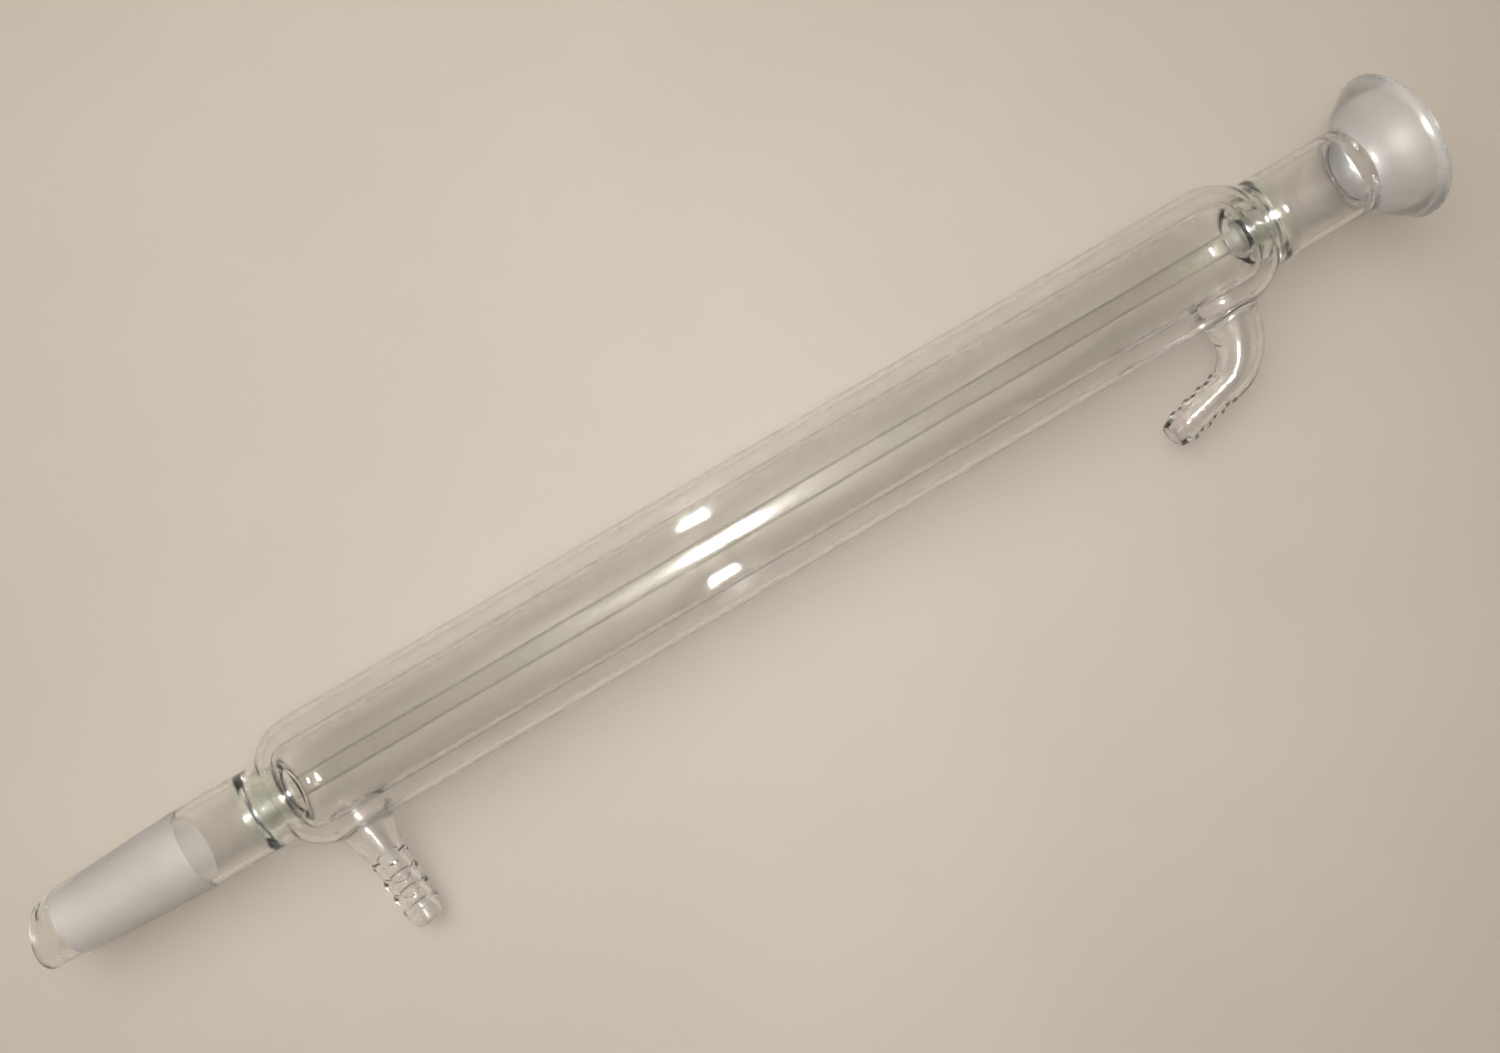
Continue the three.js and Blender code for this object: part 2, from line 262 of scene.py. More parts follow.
def shoulder_shape(neck_radius):
    """The slope at which a shoulder's two arcs meet, and the arcs' radii on the outer surface."""
    slope = 2 * math.atan((JACKET_RADIUS - neck_radius) / SHOULDER_LENGTH)
    both = SHOULDER_LENGTH / math.sin(slope)
    return slope, FOOT_SHARE * both, (1 - FOOT_SHARE) * both


def jacket_surface(x, depth):
    """The radius of the jacket's outer surface, or with depth of its inner one, under an arm's root."""
    for neck_radius, face, way in (
        (LOWER_NECK_RADIUS, JACKET_START, 1),
        (UPPER_NECK_RADIUS, JACKET_END, -1),
    ):
        into_dome = way * (face - x) + SHOULDER_LENGTH
        if into_dome > 0:
            dome = shoulder_shape(neck_radius)[2]
            return JACKET_RADIUS - dome + math.sqrt((dome - depth) ** 2 - into_dome**2)
    return JACKET_RADIUS - depth


def on_stub(arm):
    """An arm's root: it follows the round jacket where it meets it, and is a plain ring at its end."""

    def place(distance, radius, turn):
        u = radius * math.cos(turn)
        v = radius * math.sin(turn)
        free = (distance - JACKET_RADIUS) / (SADDLE_SHARE * (arm.end - JACKET_RADIUS))
        free = min(max(free, 0.0), 1.0)
        free = free * free * (3 - 2 * free)
        above = max(distance - JACKET_RADIUS, 0.0)
        depth = max(JACKET_RADIUS - distance, 0.0)
        surface = jacket_surface(arm.foot.x + arm.along.x * u, depth) + above
        saddle = math.sqrt(surface * surface - v * v)
        return arm.foot + arm.along * u + arm.side * v + arm.out * (saddle + (distance - saddle) * free)

    return place


def bent(arm, angle):
    """An arm's heading, its bend's inward direction and its centre, once it has turned by an angle."""
    heading = arm.out * math.cos(angle) + arm.along * math.sin(angle)
    across = arm.along * math.cos(angle) - arm.out * math.sin(angle)
    centre = arm.foot + arm.out * (arm.end + BEND_RADIUS * math.sin(angle))
    centre += arm.along * BEND_RADIUS * (1 - math.cos(angle))
    return heading, across, centre


def on_bend(arm):
    """The outlet's bend, by distance along its centre line."""

    def place(distance, radius, turn):
        heading, across, centre = bent(arm, distance / BEND_RADIUS)
        aside = across * (radius * math.cos(turn))
        return centre + aside + heading.cross(across) * (radius * math.sin(turn))

    return place


def on_barb(arm, angle):
    """A hose barb that starts where the arm's root, or its bend by this angle, ends."""
    heading, across, start = bent(arm, angle)

    def place(distance, radius, turn):
        ring = across * (radius * math.cos(turn)) + heading.cross(across) * (radius * math.sin(turn))
        return start + heading * distance + ring

    return place


# ---- meshes ----

HAND_WORK = 0.06  # unevenness of flame-worked glass, in mm
DRAWN = 0.002  # unevenness of the straight drawn tubing, in mm
WORKED_REACH = 9.0  # how far flame work spreads along the tubing, in mm
WORKED_GRAIN = 7.0  # width of one swelling of the glass, in mm
DRAWN_GRAIN = 150.0  # length of one swelling of drawn tubing, in mm
ARM_CLEARANCE = 1.0  # glass this far outside the jacket, in mm, belongs to a hose arm
UNEVENNESS_SEED = 7  # the noise starts from the clock unless it is given a seed

noise.seed_set(UNEVENNESS_SEED)


def unevenness(point):
    """How far a point is moved from its true place: most where the glassblower's flame has been."""
    worked = sum(
        math.exp(-(((point.x - place) / WORKED_REACH) ** 2))
        for place in (TIP_MOUTH, LOWER_SEAL_START, TUBE_START, TUBE_END, UPPER_SEAL_END, SOCKET_START)
    )
    beyond_jacket = math.hypot(point.y - AXIS.y, point.z - AXIS.z) - JACKET_RADIUS
    if beyond_jacket > ARM_CLEARANCE and point.x < SOCKET_START:
        worked = 1.0
    streak = Vector((point.x / DRAWN_GRAIN, point.y / WORKED_GRAIN, point.z / WORKED_GRAIN))
    swelling = noise.noise_vector(point / WORKED_GRAIN) * HAND_WORK * min(worked, 1.0)
    return noise.noise_vector(streak) * DRAWN + swelling


def turned(name, corners, place=on_axis, sides=ROUND_SIDES, longest_run=ROUND_RUN):
    """A closed mesh object made by turning an outline and placing its points."""
    points = points_of(corners, longest_run)
    vertices = []
    for x, radius, _ in points:
        for side in range(sides):
            spot = place(x, radius, 2 * math.pi * side / sides)
            vertices.append((spot + unevenness(spot)) * MM)
    faces = []
    skins = []
    for ring, (_, _, skin) in enumerate(points):
        after = (ring + 1) % len(points)
        for side in range(sides):
            beside = (side + 1) % sides
            faces.append(
                (ring * sides + side, ring * sides + beside, after * sides + beside, after * sides + side)
            )
            skins.append(skin)
    return solid(name, vertices, faces, skins)


def solid(name, vertices, faces, skins):
    """A mesh object with its faces pointing out and an empty material slot for each skin it has."""
    mesh = bpy.data.meshes.new(name)
    mesh.from_pydata(vertices, [], faces)
    if volume_of(mesh) < 0:
        mesh.flip_normals()
    used = [skin for skin in (GLASS, GROUND, FUSED) if skin in skins]
    for _ in used:
        mesh.materials.append(None)
    mesh.polygons.foreach_set("material_index", [used.index(skin) for skin in skins])
    mesh.polygons.foreach_set("use_smooth", [True] * len(mesh.polygons))
    mesh.update()
    mesh.set_sharp_from_angle(angle=SHARP_ANGLE)
    made = bpy.data.objects.new(name + "_glass", mesh)
    bpy.context.scene.collection.objects.link(made)
    made["skins"] = used
    made["node"] = name
    return made


def volume_of(mesh):
    """The signed volume inside the mesh's quads."""
    total = 0.0
    for face in mesh.polygons:
        a, b, c, d = (mesh.vertices[v].co for v in face.vertices)
        total += a.dot(b.cross(c)) + a.dot(c.cross(d))
    return total


# A plug is a ring round an open core of this radius, in mm. The cut leaves that hair-thin rod of wall.
PLUG_CORE = 0.01


def root_ring(arm):
    """Radius of the disc of jacket wall that an arm's root brings with it."""
    return arm.root_radius + ROOT_FILLET + ROOT_MARGIN


def opening_cutter(arm, skin_count, fused):
    """A straight plug along an arm, whose faces become the fused faces of the jacket's opening."""
    inner, outer = JACKET_RADIUS / 2, JACKET_RADIUS * 1.5
    ring = root_ring(arm)
    corners = [
        Corner(inner, PLUG_CORE), Corner(inner, ring), Corner(outer, ring), Corner(outer, PLUG_CORE),
    ]

    def straight(distance, radius, turn):
        across = arm.along * (radius * math.cos(turn)) + arm.side * (radius * math.sin(turn))
        return arm.foot + arm.out * distance + across

    cutter = turned("cutter", corners, straight, SMALL_SIDES)
    cutter.data.materials.clear()
    for _ in range(skin_count):
        cutter.data.materials.append(None)
    cutter.data.polygons.foreach_set("material_index", [fused] * len(cutter.data.polygons))
    return cutter


def cut_openings(jacket, arms):
    """Cuts the jacket's wall where the arms' roots are fused in."""
    for arm in arms:
        cutter = opening_cutter(arm, len(jacket["skins"]), jacket["skins"].index(FUSED))
        modifier = jacket.modifiers.new("opening", "BOOLEAN")
        modifier.operation = "DIFFERENCE"
        modifier.solver = "EXACT"
        modifier.object = cutter
        bpy.context.view_layer.update()
        graph = bpy.context.evaluated_depsgraph_get()
        mesh = bpy.data.meshes.new_from_object(jacket.evaluated_get(graph))
        jacket.modifiers.clear()
        jacket.data = mesh
        bpy.data.objects.remove(cutter)
    jacket.data.set_sharp_from_angle(angle=SHARP_ANGLE)


# ---- outlines of the pieces ----


def drip_tip():
    bore = TIP_RADIUS - TIP_WALL
    lip = (TIP_WALL + TIP_BEAD) * TIP_LIP_SHARE
    corners = [
        Corner(CONE_START, bore, 0.0, FUSED),
        Corner(CONE_START, TIP_RADIUS),
        Corner(TIP_MOUTH, TIP_RADIUS, lip),
        Corner(TIP_MOUTH, bore - TIP_BEAD, lip),
        Corner(TIP_MOUTH + 2 * TIP_WALL, bore, TIP_BORE_ROUND),
    ]
    return turned("drip_tip", corners, on_slanted_tip, longest_run=SMALL_RUN)


def ground_cone():
    tip_bore = TIP_RADIUS - TIP_WALL
    neck_bore = LOWER_NECK_RADIUS - NECK_WALL
    narrow_radius = CONE_WIDE_RADIUS - (CONE_END - CONE_START) * TAPER_RATE / 2
    corners = [
        Corner(CONE_START, tip_bore, 0.0, FUSED),
        Corner(CONE_START, TIP_RADIUS),
        Corner(CONE_START + CONE_EDGE / 3, TIP_RADIUS, CONE_STEP_ROUND, GROUND),
        Corner(CONE_START + CONE_EDGE, narrow_radius, CONE_FRONT_ROUND, GROUND),
        Corner(CONE_END - CONE_EDGE, CONE_WIDE_RADIUS, CONE_BACK_ROUND, GLASS),
        Corner(CONE_END - CONE_EDGE / 2, LOWER_NECK_RADIUS, CONE_BACK_ROUND),
        Corner(CONE_END, LOWER_NECK_RADIUS, 0.0, FUSED),
        Corner(CONE_END, neck_bore),
        Corner(CONE_START + CONE_EDGE, tip_bore + CONE_BORE_STEP, CONE_BORE_ROUND),
    ]
    return turned("ground_cone", corners)


def neck(name, radius, start, end):
    """A plain tube along the condenser's axis."""
    corners = [
        Corner(start, radius - NECK_WALL, 0.0, FUSED),
        Corner(start, radius),
        Corner(end, radius, 0.0, FUSED),
        Corner(end, radius - NECK_WALL),
    ]
    return turned(name, corners)


def ring_seal(name, radius, outside, face, inside):
    """outside, face and inside are where the seal meets the neck, the jacket and the inner tube."""
    way = 1 if face > outside else -1
    bore = radius - NECK_WALL
    dome = bore - THROAT_RADIUS
    corners = [
        Corner(outside, bore, 0.0, FUSED),
        Corner(outside, radius),
        Corner(face, radius, 0.0, FUSED),
        Corner(face, bore),
        Corner(inside, SEAL_CORE_RADIUS, 0.0, FUSED),
        Corner(inside, THROAT_RADIUS),
    ]
    corners += arc(outside, THROAT_RADIUS, way * dome, dome, 0, 90)[:-1]
    return turned(name, corners, longest_run=SMALL_RUN)


def shoulder(neck_radius, face, way, depth):
    """One end of the jacket's outer or, with depth, inner surface, from the seal to the straight tube."""
    slope, foot, dome = shoulder_shape(neck_radius)
    turn = math.degrees(slope)
    hollow = arc(face, neck_radius + foot, way * (foot + depth), -(foot + depth), 90, 90 - turn)
    dome_end = face + way * SHOULDER_LENGTH
    rounded = arc(dome_end, JACKET_RADIUS - dome, way * (depth - dome), dome - depth, 90 - turn, 90)
    return hollow + rounded[1:]


def closed_over(outer, inner):
    """One loop along the outer surface and back along the inner one, with fused faces at both ends."""
    outer[-1] = outer[-1]._replace(skin=FUSED)
    inner[0] = inner[0]._replace(skin=FUSED)
    return outer + inner[::-1]


def water_jacket():
    surfaces = []
    for depth in (0.0, JACKET_WALL):
        surface = shoulder(LOWER_NECK_RADIUS, JACKET_START, 1, depth)
        surface += reversed(shoulder(UPPER_NECK_RADIUS, JACKET_END, -1, depth))
        surfaces.append(surface)
    return turned("water_jacket", closed_over(*surfaces))


def tube_end(foot_radius, start, way, depth):
    """One domed end of the inner tube's outer or, with depth, inner surface, starting at the seal."""
    face = start + way * (TUBE_FOOT + depth)
    corner_radius = TUBE_RADIUS - TUBE_CORNER
    dome = arc(
        face + way * (TUBE_DOME - depth), corner_radius,
        -way * (TUBE_DOME - depth), TUBE_CORNER - depth, 0, 90,
    )
    return [Corner(start, foot_radius), Corner(face, foot_radius, TUBE_FOOT_ROUND)] + dome


def inner_tube():
    surfaces = []
    for foot_radius, depth in ((SEAL_CORE_RADIUS, 0.0), (THROAT_RADIUS, TUBE_WALL)):
        surface = tube_end(foot_radius, TUBE_START, 1, depth)
        surface += reversed(tube_end(foot_radius, TUBE_END, -1, depth))
        surfaces.append(surface)
    return turned("inner_tube", closed_over(*surfaces))


def ball_socket():
    bore = UPPER_NECK_RADIUS - NECK_WALL
    ball_centre = RIM_END + BALL_CENTRE_OUT
    rim_middle = RIM_END - RIM_ROUND
    rim_inset = RIM_RADIUS - RIM_ROUND
    tangent_radius = rim_inset + RIM_ROUND * math.cos(FLARE_ANGLE)
    tangent_x = rim_middle - RIM_ROUND * math.sin(FLARE_ANGLE)
    flare_start = tangent_x - (tangent_radius - UPPER_NECK_RADIUS) / math.tan(FLARE_ANGLE)
    seat_lip = math.degrees(math.acos(-BALL_CENTRE_OUT / BALL_RADIUS))
    seat_foot = 180 - math.degrees(math.asin(SOCKET_THROAT_RADIUS / BALL_RADIUS))
    ground_start = 90 + math.degrees(math.asin((CLEAR_RIM + BALL_CENTRE_OUT) / BALL_RADIUS))
    throat_x = ball_centre - math.sqrt(BALL_RADIUS**2 - SOCKET_THROAT_RADIUS**2)
    corners = [
        Corner(SOCKET_START, bore, 0.0, FUSED),
        Corner(SOCKET_START, UPPER_NECK_RADIUS),
        Corner(flare_start, UPPER_NECK_RADIUS, FLARE_START_ROUND),
    ]
    corners += arc(rim_middle, rim_inset, RIM_ROUND, RIM_ROUND, 90 + math.degrees(FLARE_ANGLE), 0)
    corners += arc(ball_centre, 0.0, BALL_RADIUS, BALL_RADIUS, seat_lip, ground_start)[:-1]
    corners += arc(ball_centre, 0.0, BALL_RADIUS, BALL_RADIUS, ground_start, seat_foot, GROUND)[:-1]
    corners += [
        Corner(throat_x, SOCKET_THROAT_RADIUS, THROAT_ROUND),
        Corner(throat_x - SOCKET_THROAT_LENGTH, SOCKET_THROAT_RADIUS, THROAT_FOOT_ROUND),
    ]
    return turned("ball_socket", corners)


def arm_stub(name, arm):
    ring = root_ring(arm)
    inner_face = JACKET_RADIUS - JACKET_WALL
    waist = arm.end + FLARE_HOLLOW * (JACKET_RADIUS - arm.end)
    waist_radius = arm.root_radius + FLARE_HOLLOW * (arm.end_radius - arm.root_radius)
    corners = [
        Corner(JACKET_RADIUS, ring),
        Corner(JACKET_RADIUS, arm.root_radius, ROOT_FILLET),
        Corner(waist, waist_radius, FLARE_ROUND),
        Corner(arm.end, arm.end_radius, 0.0, FUSED),
        Corner(arm.end, arm.end_bore),
        Corner(inner_face, arm.root_radius - ARM_WALL, ROOT_BORE_ROUND),
        Corner(inner_face, ring, 0.0, FUSED),
    ]
    return turned(name, corners, on_stub(arm), SMALL_SIDES, SMALL_RUN)


def outlet_bend(arm):
    length = BEND_RADIUS * BEND_ANGLE
    corners = [
        Corner(0.0, arm.end_bore, 0.0, FUSED),
        Corner(0.0, arm.end_radius),
        Corner(length, ARM_RADIUS, 0.0, FUSED),
        Corner(length, ARM_BORE),
    ]
    return turned("outlet_bend", corners, on_bend(arm), SMALL_SIDES, SMALL_RUN)


def hose_barb(name, arm, angle):
    corners = [Corner(0.0, ARM_BORE, 0.0, FUSED), Corner(0.0, ARM_RADIUS)]
    for ridge in range(RIDGE_COUNT):
        top = FIRST_RIDGE + ridge * RIDGE_PITCH
        corners.append(Corner(top, RIDGE_RADIUS, RIDGE_SOFTNESS))
        if ridge < RIDGE_COUNT - 1:
            corners.append(Corner(top + RIDGE_PITCH - RIDGE_RISE, VALLEY_RADIUS, RIDGE_SOFTNESS))
    corners += [
        Corner(BARB_LENGTH, MOUTH_RADIUS, MOUTH_SOFTNESS),
        Corner(BARB_LENGTH, ARM_BORE, MOUTH_SOFTNESS),
    ]
    return turned(name, corners, on_barb(arm, angle), SMALL_SIDES, SMALL_RUN)


inlet = arm_at("inlet_stub", INLET_END, INLET_ROOT_RADIUS, ARM_RADIUS, ARM_BORE)
outlet = arm_at(
    "outlet_stub", OUTLET_END, OUTLET_ROOT_RADIUS, OUTLET_END_RADIUS, OUTLET_END_RADIUS - ARM_WALL
)

# ---- materials: colours from 0 to 1, heights of bumps in metres, grains in swellings per metre ----

GLASS_IOR = 1.474
SOFT_RANGE = 0.3, 0.7  # the part of a noise's range that becomes a soft cloud from 0 to 1
CLEAR_TINT = (0.992, 0.992, 0.985)
# Edge tints colour glass seen at a grazing angle: partly its long path through the wall, partly painted
# shade that draws dark edge lines.
CLEAR_EDGE_SHADE = (0.26, 0.23, 0.18)  # drawn tubing seen along its wall, darkened further as painted shade
WORKED_EDGE_SHADE = (0.55, 0.53, 0.48)
RIM_EDGE_SHADE = (0.8, 0.79, 0.76)
SEAL_TINT = (0.91, 0.945, 0.90)
SEAL_EDGE_SHADE = (0.24, 0.30, 0.23)
GRAZING_BLEND = 0.35  # how much of the glass counts as seen at a grazing angle
GRAZING_POWER = 3.0  # how closely the edge tint keeps to the grazing parts
CLOUD_SHADE = 0.99  # share of its tint that glass keeps in its faint clouds
CLOUDS = (6, 120, 120)
SMEARS = (6, 200, 200)
SMEAR_RANGE = 0.45, 0.75
SMEAR_ROUGHNESS = 0.006
STRIAE = (3, 900, 900)  # lines along the drawn tubing
STRIAE_HEIGHT = 0.0000001
SWIRLS = (260, 260, 260)  # waves in flame-worked glass
SWIRLS_HEIGHT = 0.000012
# A weak, slightly rough coat gives the glints of the lamps a soft edge.
WORKED_COAT, WORKED_COAT_ROUGHNESS = 0.28, 0.13
DRAWN_COAT, DRAWN_COAT_ROUGHNESS = 0.12, 0.09
SHADE_FACING = (1.0, 1.0, 0.998)  # light that clear glass lets fall through, face on
SHADE_GRAZING = (0.62, 0.62, 0.6)

WORN_EDGES = 0.51, 0.54  # pointiness at which wear starts, and where it is full
SCUFFS = (900, 900, 900)
SCUFF_RANGE = 0.45, 0.62
SCUFF_ROUGHNESS = 0.2

STRIP_TOP, STRIP_BOTTOM = 7.0, 8.0  # the strip starts and is full this far below the axis, in mm
STRIP_HALF_WIDTH = 3.4  # of the strip along the inner tube's lowest line, in mm: painted shade with dried water specks
STRIP_WANDER = 0.8  # how far the strip's edge strays, in mm
BAND_SHADE_EDGE = 0.8  # width of the darker line of painted shade at the strip's edge, in mm
BAND_SHADE_BODY = 0.55  # strength of the painted shade between the strip's two edge lines
# Painted shade: the colour of the dark band along the inner tube's lowest line.
BAND_SHADE_TINT = (0.60, 0.58, 0.52)
STRIP_WAVES = (25, 25, 25)
SPECK_CORE = 0.4  # share of the half width that has specks at full strength
SPECKS = (260, 900, 900)
SPECK_RANGE, SPECK_LEAST = (0.38, 0.66), 0.1
PATCHES = (40, 120, 120)
PATCH_RANGE, PATCH_LEAST = (0.38, 0.6), 0.15
SPECK_TRANSMISSION = 0.94
SPECK_COAT, SPECK_COAT_ROUGHNESS = 0.06, 0.34

HAZE_SOFTNESS = 1.0  # half the length over which the rim's haze sets in, in mm
HAZE_ROUGHNESS = 0.26
HAZE_TRANSMISSION = 0.8

GROUND_PALE, GROUND_GREY = (0.95, 0.925, 0.89), (0.84, 0.815, 0.78)
GROUND_WORN = (0.97, 0.97, 0.96)
GROUND_SHADE = (0.84, 0.835, 0.82, 1)  # light that ground glass lets fall through
GROUND_CLOUDS = (70, 110, 110)
GROUND_PATCHES = (300, 300, 300)
GROUND_ROUGHNESS = 0.5, 0.62
GROUND_TRANSMISSION = 0.76, 0.62
GRIT = (5200, 5200, 5200)  # the ground surface's own grain
GRIT_HEIGHT = 0.00002
GRINDING = (2600, 70, 70)  # lines left round the axis by the grinding
GRINDING_HEIGHT = 0.000012


def add(tree, kind, settings=(), **inputs):
    """Adds a node. settings are its own attributes, and inputs are values or sockets to link."""
    made = tree.nodes.new(kind)
    for name, value in dict(settings).items():
        setattr(made, name, value)
    for name, value in inputs.items():
        socket = made.inputs[name.replace("_", " ")]
        if isinstance(value, bpy.types.NodeSocket):
            tree.links.new(value, socket)
        else:
            socket.default_value = value
    return made


def empty_material(name):
    material = bpy.data.materials.new(name)
    material.use_nodes = True
    material.node_tree.nodes.clear()
    return material, material.node_tree


def mixed_colour(tree, factor, first, second):
    """A colour between two, each a plain colour or a socket."""
    made = add(tree, "ShaderNodeMix", {"data_type": "RGBA"}, Factor=factor)
    for socket, value in ((made.inputs[6], first), (made.inputs[7], second)):
        if isinstance(value, bpy.types.NodeSocket):
            tree.links.new(value, socket)
        else:
            socket.default_value = (*value, 1)
    return made.outputs[2]


def calculated(tree, operation, first, second=0.0):
    """The result of a sum on two numbers or sockets."""
    made = add(tree, "ShaderNodeMath", {"operation": operation})
    for socket, value in zip(made.inputs, (first, second)):
        if isinstance(value, bpy.types.NodeSocket):
            tree.links.new(value, socket)
        else:
            socket.default_value = value
    return made.outputs[0]


def ranged(tree, value, low, high, to_low, to_high):
    """The value between low and high turned softly into one between to_low and to_high."""
    made = add(
        tree, "ShaderNodeMapRange", {"interpolation_type": "SMOOTHSTEP"},
        Value=value, From_Min=low, From_Max=high, To_Min=to_low, To_Max=to_high,
    )
    return made.outputs["Result"]


def grain(tree, per_metre, detail=2.0, distortion=0.0):
    """Noise from 0 to 1. per_metre is how many swellings there are in a metre along x, y and z."""
    coords = add(tree, "ShaderNodeTexCoord").outputs["Object"]
    stretched = add(tree, "ShaderNodeMapping", Vector=coords, Scale=per_metre)
    made = add(
        tree, "ShaderNodeTexNoise",
        Vector=stretched.outputs[0], Scale=1.0, Detail=detail, Distortion=distortion,
    )
    return made.outputs["Fac"]


def bumped(tree, height, distance, normal=None):
    """A normal roughened by a height from 0 to 1 that stands for a distance in metres."""
    made = add(tree, "ShaderNodeBump", Strength=1.0, Distance=distance, Height=height)
    if normal is not None:
        tree.links.new(normal, made.inputs["Normal"])
    return made.outputs[0]


def edge_wear(tree):
    """1 on the outer edges that knock against things, broken up into separate scuffs."""
    pointiness = add(tree, "ShaderNodeNewGeometry").outputs["Pointiness"]
    edges = ranged(tree, pointiness, *WORN_EDGES, 0.0, 1.0)
    scuffs = ranged(tree, grain(tree, SCUFFS, detail=4.0), *SCUFF_RANGE, 0.0, 1.0)
    return calculated(tree, "MULTIPLY", edges, scuffs)


def seen_through(tree, shader, colour):
    """Lets light fall through the glass on what lies behind it, dimmed by a colour."""
    through = add(tree, "ShaderNodeBsdfTransparent", Color=colour)
    path = add(tree, "ShaderNodeLightPath")
    mixed = add(tree, "ShaderNodeMixShader", Fac=path.outputs["Is Shadow Ray"])
    tree.links.new(shader.outputs[0], mixed.inputs[1])
    tree.links.new(through.outputs[0], mixed.inputs[2])
    add(tree, "ShaderNodeOutputMaterial", Surface=mixed.outputs[0])


def fused_glass():
    """The face between two fused pieces: nothing to see."""
    material, tree = empty_material("fused_line")
    clear = add(tree, "ShaderNodeBsdfTransparent")
    add(tree, "ShaderNodeOutputMaterial", Surface=clear.outputs[0])
    return material


def shade_band_and_specks(tree):
    """Two strengths, each 0 to 1, along the inner tube's lowest line: a band of painted shade, and dried
    water specks.
    """
    place = add(tree, "ShaderNodeTexCoord").outputs["Object"]
    split = add(tree, "ShaderNodeSeparateXYZ", Vector=place)
    aside = calculated(tree, "ABSOLUTE", calculated(tree, "SUBTRACT", split.outputs["Y"], AXIS.y * MM))
    wander = calculated(tree, "MULTIPLY", grain(tree, STRIP_WAVES), STRIP_WANDER * MM)
    edge = calculated(tree, "ADD", aside, wander)
    lowest, highest = (AXIS.z - STRIP_BOTTOM) * MM, (AXIS.z - STRIP_TOP) * MM
    below = ranged(tree, split.outputs["Z"], lowest, highest, 1.0, 0.0)
    inner, outer = STRIP_HALF_WIDTH * MM, (STRIP_HALF_WIDTH + STRIP_WANDER) * MM
    # The band of painted shade, darker still in a line at each edge.
    band_shade = calculated(tree, "MULTIPLY", ranged(tree, edge, inner, outer, 1.0, 0.0), below)
    line = calculated(tree, "MULTIPLY", band_shade, ranged(tree, edge, inner - BAND_SHADE_EDGE * MM, inner, 0.0, 1.0))
    body = calculated(tree, "MULTIPLY", band_shade, BAND_SHADE_BODY)
    band_shade = calculated(tree, "ADD", body, calculated(tree, "MULTIPLY", line, 1 - BAND_SHADE_BODY))
    fine = grain(tree, SPECKS, detail=5.0, distortion=0.4)
    specks = ranged(tree, fine, *SPECK_RANGE, SPECK_LEAST, 1.0)
    patches = ranged(tree, grain(tree, PATCHES), *PATCH_RANGE, PATCH_LEAST, 1.0)
    core = ranged(tree, edge, SPECK_CORE * inner, inner, 1.0, 0.0)
    broken = calculated(tree, "MULTIPLY", specks, patches)
    return band_shade, calculated(tree, "MULTIPLY", calculated(tree, "MULTIPLY", core, below), broken)


def hazy_rim(tree):
    """1 on the socket's rim, where handling has dulled the fire polish, and 0 on the rest."""
    place = add(tree, "ShaderNodeTexCoord").outputs["Object"]
    along = add(tree, "ShaderNodeSeparateXYZ", Vector=place).outputs["X"]
    start = RIM_END - CLEAR_RIM - RIM_ROUND / 2
    return ranged(tree, along, (start - HAZE_SOFTNESS) * MM, (start + HAZE_SOFTNESS) * MM, 0.0, 1.0)


def clear_glass(name, tint, edge_shade_tint, worked=False, with_shade_band_and_specks=False, rimmed=False):
    """Polished glass. tint is what a face-on surface lets through; the edge tint, what a grazing one lets
    through, is partly painted shade.

    worked adds the waves of flame work, rimmed a hazy rim, and the flag between them a band of painted
    shade with dried water specks along the inner tube's lowest line.
    """
    material, tree = empty_material(name)
    facing = add(tree, "ShaderNodeLayerWeight", Blend=GRAZING_BLEND).outputs["Facing"]
    grazing = calculated(tree, "POWER", facing, GRAZING_POWER)
    cloud = ranged(tree, grain(tree, CLOUDS), *SOFT_RANGE, 0.0, 1.0)
    colour = mixed_colour(tree, cloud, tint, [CLOUD_SHADE * t for t in tint])
    # Painted shade: the colour darkens where the glass is seen at a grazing angle, drawing dark edge
    # lines.
    colour = mixed_colour(tree, grazing, colour, edge_shade_tint)
    smears = ranged(tree, grain(tree, SMEARS, detail=3.0), *SMEAR_RANGE, 0.0, SMEAR_ROUGHNESS)
    scuffs = calculated(tree, "MULTIPLY", edge_wear(tree), SCUFF_ROUGHNESS)
    roughness = calculated(tree, "ADD", smears, scuffs)
    if worked:
        normal = bumped(tree, grain(tree, SWIRLS, detail=1.0, distortion=0.6), SWIRLS_HEIGHT)
    else:
        normal = bumped(tree, grain(tree, STRIAE), STRIAE_HEIGHT)
    shader = add(
        tree,
        "ShaderNodeBsdfPrincipled",
        Base_Color=colour,
        Roughness=roughness,
        IOR=GLASS_IOR,
        Transmission_Weight=1.0,
        Coat_Weight=WORKED_COAT if worked else DRAWN_COAT,
        Coat_Roughness=WORKED_COAT_ROUGHNESS if worked else DRAWN_COAT_ROUGHNESS,
        Normal=normal,
    )
    if with_shade_band_and_specks:
        band_shade, marks = shade_band_and_specks(tree)
        # Painted shade: the dark band along the inner tube's lowest line. The specks are dried water.
        band_shaded_colour = mixed_colour(tree, band_shade, colour, BAND_SHADE_TINT)
        clearness = ranged(tree, marks, 0.0, 1.0, 1.0, SPECK_TRANSMISSION)
        tree.links.new(band_shaded_colour, shader.inputs["Base Color"])
        tree.links.new(clearness, shader.inputs["Transmission Weight"])
        tree.links.new(ranged(tree, marks, 0.0, 1.0, 0.0, SPECK_COAT), shader.inputs["Coat Weight"])
        shader.inputs["Coat Roughness"].default_value = SPECK_COAT_ROUGHNESS
    if rimmed:
        haze = hazy_rim(tree)
        dull = calculated(tree, "ADD", roughness, calculated(tree, "MULTIPLY", haze, HAZE_ROUGHNESS))
        clearness = ranged(tree, haze, 0.0, 1.0, 1.0, HAZE_TRANSMISSION)
        tree.links.new(dull, shader.inputs["Roughness"])
        tree.links.new(clearness, shader.inputs["Transmission Weight"])
    seen_through(tree, shader, mixed_colour(tree, grazing, SHADE_FACING, SHADE_GRAZING))
    return material


